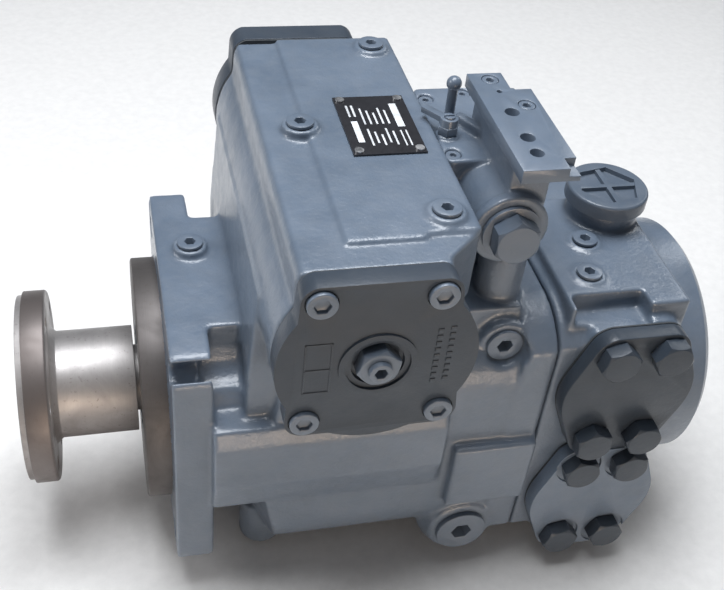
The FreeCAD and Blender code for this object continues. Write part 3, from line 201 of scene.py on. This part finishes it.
def turned_steel(name, tint, rough=(0.26, 0.44), stain=0.5, shade_rim_and_underside=False):
    """Bare steel turned about the shaft axis, with fine grooves and a brown oil film.

    The last flag paints shade: it darkens the coupling's outer edge and the underside of its hub.
    """
    s = Shader(name, Metallic=0.72)
    split = s.tree.nodes.new("ShaderNodeSeparateXYZ")
    s.link(s.coords, split.inputs[0])
    radius = s.math("SQRT", s.math("ADD", s.math("MULTIPLY", split.outputs[1], split.outputs[1]),
                                   s.math("MULTIPLY", split.outputs[2], split.outputs[2])))
    joined = s.tree.nodes.new("ShaderNodeCombineXYZ")
    s.link(split.outputs[0], joined.inputs[0])
    s.link(radius, joined.inputs[1])
    lines = s.noise(2600.0, 2.0, 0.7, joined.outputs[0])
    film = s.noise(38.0, 4.0, 0.6, distortion=0.6)
    base = s.ramp(film, [(0.30, tuple(c * (1 - stain) for c in tint)), (0.62, tint)])
    specks = s.remap(s.noise(420.0, 4.0, 0.7), 0.60, 0.72, 0.0, 0.6)
    base = s.mix(specks, base, (0.10, 0.075, 0.06))
    base = s.mix(s.remap(lines, 0.35, 0.65, 0.0, 0.35), base, tuple(c * 0.72 for c in tint))
    # painted shade: the coupling's outer edge and the hub's underside are darkened
    if shade_rim_and_underside:
        rim_shade = s.remap(radius, 0.0490, 0.0498, 0.0, 0.8)
        underside_shade = s.remap(split.outputs[2], -0.022, 0.012, 0.85, 0.0)
        base = s.mix(s.math("MAXIMUM", rim_shade, underside_shade), base, (0.11, 0.088, 0.08))
    s.set("Base Color", base)
    s.set("Roughness", s.remap(film, 0.3, 0.7, rough[1], rough[0]))
    s.set("Normal", s.bump(lines, 0.00008, 0.5))
    return s.material


def plain_metal(name, tint, rough, scale=300.0, relief=0.00005):
    s = Shader(name, Metallic=1.0)
    cloud = s.noise(scale / 8, 3.0, 0.6)
    s.set("Base Color", s.ramp(cloud, [(0.3, tuple(c * 0.72 for c in tint)), (0.7, tint)]))
    s.set("Roughness", s.remap(s.noise(scale, 3.0), 0.3, 0.7, rough * 0.8, rough * 1.25))
    s.set("Normal", s.bump(s.noise(scale * 3, 2.0), relief, 0.5))
    return s.material


def matt(name, tint, rough, scale=500.0, relief=0.0001, coat=0.0, spread=0.25):
    s = Shader(name, Metallic=0.0, Coat_Weight=coat, Coat_Roughness=0.2)
    cloud = s.noise(scale / 6, 4.0, 0.6)
    low, high = tuple(c * (1 - spread) for c in tint), tuple(min(1.0, c * (1 + spread)) for c in tint)
    s.set("Base Color", s.ramp(cloud, [(0.3, low), (0.72, high)]))
    s.set("Roughness", s.remap(s.noise(scale, 3.0), 0.3, 0.7, rough * 0.85, min(1.0, rough * 1.15)))
    s.set("Normal", s.bump(s.noise(scale * 2, 3.0), relief, 0.5))
    return s.material


cast_paint = enamel("cast_enamel", 0.97, 1.0, edge_wear_sheen_and_hollow_shade=True)
smooth_paint = enamel("machined_enamel", 0.94, 0.35, 0.35, 1.45)
cap_paint = enamel("cap_enamel", 0.74, 0.5, 0.25, 1.42)
# the covers' enamel is the same enamel at a third of its tone: painted shade
shaded_cover_paint = enamel("shaded_cover_enamel", 0.33, 0.45, 0.15, 1.38)
# lighter copy of the enamel for the lower port cover: painted light bounced up from the floor
floor_lit_cover_paint = enamel("floor_lit_enamel", 1.10, 0.6, 0.25, 1.42)
fastener_paint = enamel("fastener_enamel", 0.92, 0.25)
# turned steel with painted shade on the coupling's outer edge and the hub's underside
bare = turned_steel("turned_steel", (0.50, 0.475, 0.465), (0.40, 0.56), 0.35, shade_rim_and_underside=True)
# the pilot ring's steel is the turned steel made much darker: painted shade
shaded_pilot_steel = turned_steel("shaded_pilot_steel", (0.14, 0.128, 0.124), (0.46, 0.62), 0.30)
ground = plain_metal("ground_steel", (0.62, 0.62, 0.63), 0.22)
spring = plain_metal("spring_steel", (0.20, 0.20, 0.21), 0.38)
bronze = plain_metal("bronze", (0.62, 0.42, 0.20), 0.30)
rivet_metal = plain_metal("rivet_aluminium", (0.80, 0.80, 0.80), 0.30)
rubber = matt("seal_rubber", (0.020, 0.020, 0.021), 0.62)
fibre = matt("gasket_fibre", (0.050, 0.055, 0.060), 0.80)
plate_black = matt("plate_black", (0.012, 0.012, 0.015), 0.36, 900.0, 0.00003, 0.3)
plate_pale = matt("plate_pale", (0.62, 0.64, 0.66), 0.45, 900.0, 0.00003, 0.2)
SLOT_MATERIALS = {
    "paint": smooth_paint, "painted_fastener": fastener_paint, "bare_steel": bare, "hard_steel": ground,
    "spring_steel": spring, "bronze": bronze, "rubber": rubber, "gasket": fibre,
    "nameplate": plate_black, "rivet": rivet_metal,
}
slot_of = {entry["node"]: entry["material_slot"] for entry in frame["record"]["subparts"]}
body_of = {n: body for body, members in frame["record"]["behaviour"]["bodies"].items() for n in members}


# ---------------------------------------------------------------- mesh helpers
def copy_mesh(node, name):
    """A welded copy of a CAD node as a new object."""
    obj = bpy.data.objects.new(name, nodes[node].data.copy())
    bpy.context.scene.collection.objects.link(obj)
    obj.data.materials.clear()
    weld = obj.modifiers.new("weld", "WELD")
    weld.merge_threshold = 0.00001
    return apply_all(obj)


def apply_all(obj):
    """Bake an object's modifiers into its mesh."""
    graph = bpy.context.evaluated_depsgraph_get()
    mesh = bpy.data.meshes.new_from_object(obj.evaluated_get(graph), depsgraph=graph)
    old = obj.data
    obj.modifiers.clear()
    obj.data = mesh
    bpy.data.meshes.remove(old)
    return obj


def smooth_shade(obj, angle=35.0):
    obj.data.shade_smooth()
    if angle < 180:
        obj.data.set_sharp_from_angle(angle=math.radians(angle))
    return obj


def points_of(obj):
    co = np.empty(len(obj.data.vertices) * 3, np.float32)
    obj.data.vertices.foreach_get("co", co)
    return co.reshape(-1, 3).astype(float)


def finish_piece(obj, node, material):
    """Give a piece its material and body, and hide its CAD node."""
    obj.data.materials.clear()
    obj.data.materials.append(material)
    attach(obj, body_of[node])
    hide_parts(node)
    return obj


def broken_edges(node, width, material, segments=3):
    """Copy of a node whose sharp edges are broken by a small bevel."""
    obj = copy_mesh(node, node + "_finish")
    dissolve = obj.modifiers.new("flats", "DECIMATE")
    dissolve.decimate_type = "DISSOLVE"
    dissolve.angle_limit = math.radians(0.5)
    bevel = obj.modifiers.new("edge", "BEVEL")
    bevel.width = width
    bevel.segments = segments
    bevel.limit_method = "ANGLE"
    bevel.angle_limit = math.radians(33)
    bevel.use_clamp_overlap = True
    bevel.harden_normals = False
    apply_all(obj)
    smooth_shade(obj, 40)
    return finish_piece(obj, node, material)


def cast_skin(node, material, voxel, rounds, crisp, hollow=None, firm=None, wobble=0.00035, keep=0.6):
    """Remeshed copy of a casting with cast fillets.

    crisp lists machined places (axis, centre, radius, half length) that stay sharp.
    hollow is a test on points: the inside surfaces that are neither rounded nor made uneven.
    firm is a test on points whose edges are rounded less.
    """
    obj = copy_mesh(node, node + "_casting")
    remesh = obj.modifiers.new("remesh", "REMESH")
    remesh.mode = "VOXEL"
    remesh.voxel_size = voxel * 1.0
    remesh.adaptivity = 0.0
    apply_all(obj)
    co = points_of(obj)
    weight = np.ones(len(co))
    for axis, centre, radius, half in crisp:
        a = "xyz".index(axis)
        others = [i for i in range(3) if i != a]
        away = np.hypot(co[:, others[0]] - centre[others[0]], co[:, others[1]] - centre[others[1]])
        along = np.abs(co[:, a] - centre[a])
        inside = (away < radius) & (along < half)
        weight[inside] = 0.0
    if firm is not None:
        weight[firm(co) & (weight > 0)] = FIRM
    if hollow is not None:
        weight[hollow(co)] = 0.0
    group = obj.vertex_groups.new(name="cast")
    for value in (0.0, FIRM, 1.0):
        chosen = np.flatnonzero(weight == value).tolist()
        if chosen:
            group.add(chosen, value, "REPLACE")
    settle = obj.modifiers.new("settle", "SMOOTH")
    settle.factor = 0.5
    settle.iterations = 2
    soft = obj.modifiers.new("soft", "SMOOTH")
    soft.factor = 0.5
    soft.iterations = rounds
    soft.vertex_group = "cast"
    if wobble:
        clouds = bpy.data.textures.new(node + "_uneven", "CLOUDS")
        clouds.noise_scale = 0.011
        clouds.noise_depth = 2
        uneven = obj.modifiers.new("uneven", "DISPLACE")
        uneven.texture = clouds
        uneven.texture_coords = "LOCAL"
        uneven.strength = wobble
        uneven.mid_level = 0.62
        uneven.vertex_group = "cast"
    if keep < 1.0:
        thin = obj.modifiers.new("thin", "DECIMATE")
        thin.ratio = keep
    apply_all(obj)
    obj.vertex_groups.clear()
    obj.data.shade_smooth()
    return finish_piece(obj, node, material)


# ---------------------------------------------------------------- camera, light and floor
CAMERA_PLACE = Vector((-0.02064, -0.40960, 0.41054))
CAMERA_YAW, CAMERA_PITCH, CAMERA_ROLL = math.radians(-17.16), math.radians(40.39), math.radians(6.85)
FOCAL_WIDTHS = 1059.3 / 724.0


def place_camera():
    back = Vector((math.sin(CAMERA_YAW) * math.cos(CAMERA_PITCH),
                   -math.cos(CAMERA_YAW) * math.cos(CAMERA_PITCH),
                   math.sin(CAMERA_PITCH)))
    right = Vector((math.cos(CAMERA_YAW), math.sin(CAMERA_YAW), 0.0))
    up = back.cross(right)
    turn_right = math.cos(CAMERA_ROLL) * right + math.sin(CAMERA_ROLL) * up
    turn_up = math.cos(CAMERA_ROLL) * up - math.sin(CAMERA_ROLL) * right
    data = bpy.data.cameras.new("camera")
    data.sensor_width = 36.0
    data.lens = 36.0 * FOCAL_WIDTHS
    data.clip_start = 0.01
    camera = bpy.data.objects.new("camera", data)
    bpy.context.scene.collection.objects.link(camera)
    turn = Matrix((turn_right, turn_up, back)).transposed()
    camera.matrix_world = Matrix.Translation(CAMERA_PLACE) @ turn.to_4x4()
    bpy.context.scene.camera = camera


def area_light(name, place, target, size, power, tint=(1, 1, 1)):
    data = bpy.data.lights.new(name, "AREA")
    data.shape = "RECTANGLE"
    data.size, data.size_y = size
    data.energy = power
    data.color = tint
    lamp = bpy.data.objects.new(name, data)
    lamp.location = place
    lamp.rotation_euler = (Vector(target) - Vector(place)).to_track_quat("-Z", "Y").to_euler()
    bpy.context.scene.collection.objects.link(lamp)


def light_scene():
    centre = (0.11, 0.0, 0.03)
    area_light("overhead", (0.05, 0.12, 1.20), centre, (0.9, 0.6), 20.0, (0.93, 0.96, 1.0))
    area_light("left_window", (-0.95, 0.10, 0.60), centre, (0.35, 0.55), 4.6, (0.98, 0.98, 1.0))
    area_light("right_back", (0.95, 0.55, 0.75), centre, (0.3, 0.5), 1.7, (0.95, 0.98, 1.0))
    area_light("low_warm", (0.15, -0.9, -0.02), (0.12, 0.0, -0.07), (0.8, 0.10), 2.6, (1.0, 0.80, 0.62))
    world = bpy.data.worlds.new("studio")
    world.use_nodes = True
    back = world.node_tree.nodes["Background"]
    back.inputs[0].default_value = (0.84, 0.90, 1.0, 1.0)
    back.inputs[1].default_value = 0.13
    bpy.context.scene.world = world
    bpy.context.scene.view_settings.view_transform = "Standard"


def lay_floor():
    mesh = bpy.data.meshes.new("floor")
    reach, z = 4.0, cad_low.z - 0.0005
    corners = [(-reach, -reach, z), (reach, -reach, z), (reach, reach, z), (-reach, reach, z)]
    mesh.from_pydata(corners, [], [(0, 1, 2, 3)])
    floor = bpy.data.objects.new("floor", mesh)
    bpy.context.scene.collection.objects.link(floor)
    mesh.materials.append(matt("floor_pale", (0.80, 0.785, 0.765), 0.85, 900.0, 0.0001, spread=0.04))


place_camera()
light_scene()
lay_floor()


# ---------------------------------------------------------------- castings
def mm(*values):
    return tuple(v * MM for v in values)


def zone(axis, x, y, z, radius, half):
    return axis, mm(x, y, z), radius * MM, half * MM


COVER_SCREW_PLACES = ((56.0, 141.4), (105.5, 141.4), (52.5, 75.0), (112.0, 75.0))
VALVE_SCREW_PLACES = ((135.5, 29.0), (156.0, 33.5), (135.3, -20.3))


def ring_solid(name, profile, segments=192):
    """Closed ring turned about the shaft axis from (x, r) points."""
    count = len(profile)
    verts, faces = [], []
    for i in range(segments):
        angle = 2 * math.pi * i / segments
        for x, r in profile:
            verts.append((x * MM, r * MM * math.cos(angle), r * MM * math.sin(angle)))
    for i in range(segments):
        j = (i + 1) % segments
        for k in range(count):
            m = (k + 1) % count
            faces.append((i * count + k, i * count + m, j * count + m, j * count + k))
    mesh = bpy.data.meshes.new(name)
    mesh.from_pydata(verts, [], faces)
    obj = bpy.data.objects.new(name, mesh)
    bpy.context.scene.collection.objects.link(obj)
    mesh.validate()
    smooth_shade(obj, 30)
    return obj


def make_pilot():
    """Turned pilot ring, with its front corner broken."""
    profile = (
        (PILOT_END_X, PILOT_BORE_R),
        (PILOT_END_X, PILOT_R - 1.5),
        (PILOT_END_X + 0.4, PILOT_R - 0.4),
        (PILOT_END_X + 1.1, PILOT_R),
        (0.4, PILOT_R),
        (0.4, PILOT_BORE_R),
    )
    pilot = ring_solid("pump_housing_pilot", profile)
    finish_piece(pilot, "pump_housing", shaded_pilot_steel)


def tuck_pilot(housing):
    """Shrink the casting's own pilot so that it lies under the turned pilot ring."""
    for vertex in housing.data.vertices:
        x, y, z = vertex.co
        radial = math.hypot(y, z)
        if x < -0.4 * MM and radial > (PILOT_BORE_R + 0.5) * MM:
            shrink = min(1.0, (PILOT_R - 1.5) * MM / radial)
            vertex.co = (max(x, (PILOT_END_X + 1.2) * MM), y * shrink, z * shrink)


def make_housing():
    housing_crisp = [zone("x", -6, 0, 0, 66, 6.3)]
    housing_crisp += [zone("z", x, y, 152, 8.9, 3.2) for x, y in ((67, 2), (117.5, 75), (117, -70))]
    housing_crisp += [zone("z", 17, 14, 77, 8.9, 3), zone("y", 160, -66, 66, 11.4, 3),
                      zone("y", 154, -78, -62, 15.6, 3), zone("z", 49, -40, -89, 11, 3)]
    housing_crisp += [zone("y", x, -100, z, 5.4, 3) for x, z in COVER_SCREW_PLACES]
    corners = (-MOUNT_HALF, MOUNT_HALF)
    housing_crisp += [zone("x", 8, y, z, 8.6, 14) for y in corners for z in corners]

    def housing_hollow(co):
        radial = np.hypot(co[:, 1], co[:, 2])
        cavity = (radial < CAVITY_R * MM) & (co[:, 0] > CAVITY_X * MM)
        bore = np.hypot(co[:, 0] - STROKE_X * MM, co[:, 2] - STROKE_Z * MM) < STROKE_BORE_R * MM
        nose = (radial < NOSE_R * MM) & (co[:, 0] < NOSE_X * MM)
        return cavity | bore | nose

    def deck_top(co):
        return (co[:, 2] > DECK_EDGE_Z * MM) & (co[:, 0] < DECK_END_X * MM)

    housing = cast_skin(
        "pump_housing", cast_paint, 1.15 * MM, 9, housing_crisp, housing_hollow, deck_top, keep=0.5
    )
    tuck_pilot(housing)
    make_pilot()


def make_port_block():
    block_crisp = [zone("z", x, y, 89, 8.6, 2.8) for x, y in ((215, -20), (207, -46))]
    block_crisp += [zone("x", 240, y, z, 10.6, 8) for y, z in ((-44, 71), (-44, -71), (60, 61), (60, -61))]

    def block_hollow(co):
        return np.hypot(co[:, 1], co[:, 2]) < 30 * MM

    cast_skin("port_block", cast_paint, 1.2 * MM, 9, block_crisp, block_hollow, keep=0.5)


def make_valve_body():
    valve_crisp = [zone("z", x, y, 147, 4.6, 4) for x, y in VALVE_SCREW_PLACES]
    valve_crisp += [zone("z", 136.5, -5, 148.5, 5.8, 4)]
    cast_skin("control_valve_body", cast_paint, 0.8 * MM, 7, valve_crisp, None, wobble=0.0002, keep=0.5)


make_housing()
make_port_block()
make_valve_body()

# covers get the darkened enamel, a painted shade
for cover in ("near_stroke_cover", "far_stroke_cover", "upper_port_cover", "rear_cover_plate"):
    broken_edges(cover, COVER_EDGE * MM, shaded_cover_paint, 3)
# the lower port cover gets the lighter enamel, painted light from the floor
broken_edges("lower_port_cover", COVER_EDGE * MM, floor_lit_cover_paint, 3)
broken_edges("pilot_interface_plate", 0.5 * MM, smooth_paint, 2)
broken_edges("boost_pump_housing", 1.2 * MM, cast_paint, 3)
broken_edges("suction_port_cap", COVER_EDGE * MM, cap_paint, 3)
for fastener in ("stroke_cover_screws", "neutral_adjust_screw", "neutral_lock_nut", "control_valve_screws",
                 "interface_plate_screws", "valve_end_plug", "valve_adjust_screw", "small_port_plugs",
                 "body_port_plugs", "low_port_plug", "joint_screws",
                 "boost_housing_screws", "rear_cover_screws"):
    broken_edges(fastener, 0.45 * MM, fastener_paint, 2)
broken_edges("port_cover_bolts", 0.7 * MM, shaded_cover_paint, 3)
broken_edges("coupling_flange", 0.4 * MM, bare, 2)


# ---------------------------------------------------------------- small details
def slab(bm, x0, x1, y0, y1, z0, z1):
    """Add a closed box to a bmesh, in millimetres, and return its faces."""
    corners = [bm.verts.new(mm(x, y, z)) for x in (x0, x1) for y in (y0, y1) for z in (z0, z1)]
    quads = ((0, 1, 3, 2), (4, 6, 7, 5), (0, 4, 5, 1), (2, 3, 7, 6), (0, 2, 6, 4), (1, 5, 7, 3))
    return [bm.faces.new([corners[i] for i in quad]) for quad in quads]


def piece_from(bm, name, node, material, width=0.0):
    """Turn a bmesh into a piece that stands with a CAD node."""
    bmesh.ops.recalc_face_normals(bm, faces=bm.faces)
    mesh = bpy.data.meshes.new(name)
    bm.to_mesh(mesh)
    bm.free()
    obj = bpy.data.objects.new(name, mesh)
    bpy.context.scene.collection.objects.link(obj)
    if width:
        bevel = obj.modifiers.new("edge", "BEVEL")
        bevel.width = width * MM
        bevel.segments = 2
        apply_all(obj)
    smooth_shade(obj, 40)
    mesh_material(obj, material)
    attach(obj, body_of[node])
    return obj


def mesh_material(obj, material):
    obj.data.materials.clear()
    obj.data.materials.append(material)


def add_nameplate_print():
    """Generic pale blocks and lines in place of any wording on the plate."""
    bm = bmesh.new()
    low, high = NAMEPLATE_TOP, NAMEPLATE_TOP + 0.04
    slab(bm, 91.5, 94.5, -14.0, 4.0, low, high)
    slab(bm, 91.5, 92.5, 8.0, 18.0, low, high)
    slab(bm, 94.0, 95.0, 8.0, 18.0, low, high)
    for row in range(5):
        x = 97.5 + row * 2.9
        slab(bm, x, x + 0.9, -17.0 + 2.0 * (row % 2), -3.0 - 2.5 * (row % 3), low, high)
        slab(bm, x, x + 0.9, 1.0, 15.0 - 2.0 * (row % 3), low, high)
    slab(bm, 113.0, 116.5, -2.0, 18.5, low, high)
    slab(bm, 113.0, 113.7, -18.0, -5.0, low, high)
    slab(bm, 115.5, 116.2, -18.0, -5.0, low, high)
    piece_from(bm, "nameplate_print", "nameplate", plate_pale)


def add_cover_marks():
    """Raised rectangles cast on the near stroke cover, and a row of plain bumps on its other side."""
    bm = bmesh.new()
    front, raised = COVER_FACE_Y, COVER_FACE_Y - 0.35
    for x0, x1, z0, z1 in ((50.5, 51.2, 92, 120), (61.5, 62.2, 92, 120), (50.5, 62.2, 119.3, 120),
                           (50.5, 62.2, 92, 92.7), (50.5, 62.2, 105, 105.7)):
        slab(bm, x0, x1, raised, front + 0.3, z0, z1)
    for i in range(9):
        z = 92.0 + 3.6 * i
        slab(bm, 106.0, 108.4, raised, front + 0.3, z, z + 2.2)
        slab(bm, 111.4, 113.8, raised, front + 0.3, z + 1.0, z + 3.0)
    piece_from(bm, "near_cover_marks", "near_stroke_cover", shaded_cover_paint, 0.12)


add_nameplate_print()
add_cover_marks()

# ---------------------------------------------------------------- CAD nodes that stay as they are
for name, node in nodes.items():
    if not node.hide_render:
        node.data.materials.clear()
        node.data.materials.append(SLOT_MATERIALS[slot_of[name]])
